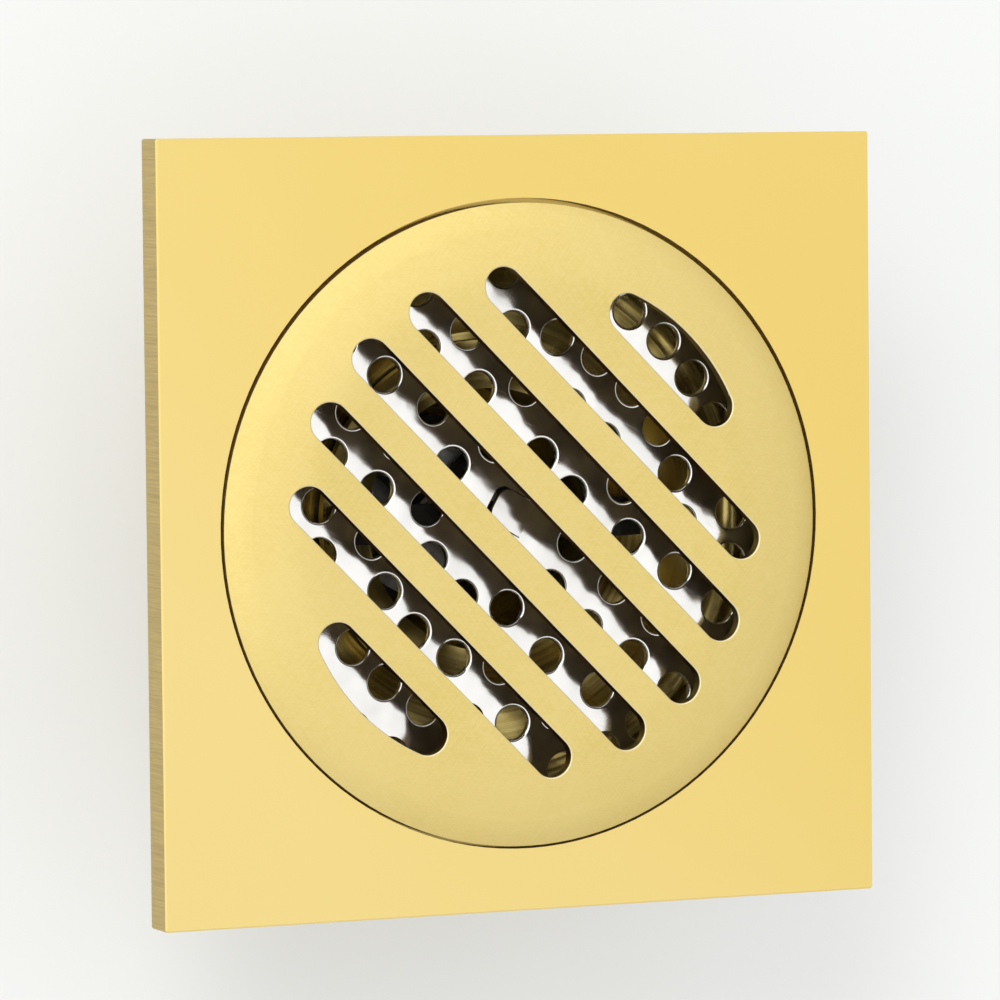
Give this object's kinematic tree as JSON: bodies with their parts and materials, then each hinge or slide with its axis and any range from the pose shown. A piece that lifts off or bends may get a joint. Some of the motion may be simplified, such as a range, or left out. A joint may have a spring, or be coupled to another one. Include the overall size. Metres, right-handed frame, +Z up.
{
  "type": "floor drain",
  "caption": "Square brass floor drain with a round lift-out slotted grate, perforated strainer, shallow bowl, round outlet and a sprung lift-out odour trap.",
  "frame": {"origin": "centre of the outlet tube's lower end, which the drain stands on", "axes": "+Z up through the grate, normal to the finished face; X and Y along the sides of the square plate; the slots run at 45 degrees from -X+Y to +X-Y"},
  "size_m": [0.1, 0.1, 0.0544],
  "materials": {
    "satin_brass": "satin, lacquered",
    "brushed_brass": "fine brushed",
    "cast_brass": "as cast, wire brushed",
    "polished_steel": "mirror polished",
    "screw_steel": "bright",
    "black_rubber": "matt",
    "silicone": "translucent white, matt",
    "grey_plastic": "moulded charcoal grey, fine texture"
  },
  "bodies": {
    "drain": {"face_plate": "satin_brass", "body_gasket": "black_rubber", "drain_body": "cast_brass", "outlet_tube": "cast_brass", "outlet_seal_lower": "black_rubber", "outlet_seal_upper": "black_rubber", "flange_screws": "screw_steel", "screw_washers": "screw_steel"},
    "grate": {"grate": "brushed_brass"},
    "strainer": {"strainer": "polished_steel"},
    "core": {"core_housing": "cast_brass", "core_gasket": "black_rubber", "core_handle": "grey_plastic", "stem_guide": "grey_plastic", "valve_spring": "screw_steel"},
    "valve": {"valve_stem": "screw_steel", "stem_clip": "screw_steel", "spring_cap": "grey_plastic", "seal_washer": "screw_steel", "valve_gasket": "silicone", "valve_disc": "grey_plastic", "stem_nut": "screw_steel"}
  },
  "joints": [
    {"name": "grate_lift", "type": "slide", "parent": "drain", "child": "grate", "axis": [0, 0, 1], "range_m": [0, 0.12]},
    {"name": "strainer_lift", "type": "slide", "parent": "drain", "child": "strainer", "axis": [0, 0, 1], "range_m": [0, 0.09]},
    {"name": "core_lift", "type": "slide", "parent": "drain", "child": "core", "axis": [0, 0, 1], "range_m": [0, 0.06]},
    {"name": "valve_travel", "type": "slide", "parent": "core", "child": "valve", "axis": [0, 0, -1], "range_m": [0, 0.005], "stiffness_N_per_m": 60, "springref_m": -0.01, "deforming": ["valve_spring"]}
  ],
  "couplings": [
    {"joint": "strainer_lift", "follows": "grate_lift", "ratio": 0.75},
    {"joint": "core_lift", "follows": "grate_lift", "ratio": 0.5}
  ]
}
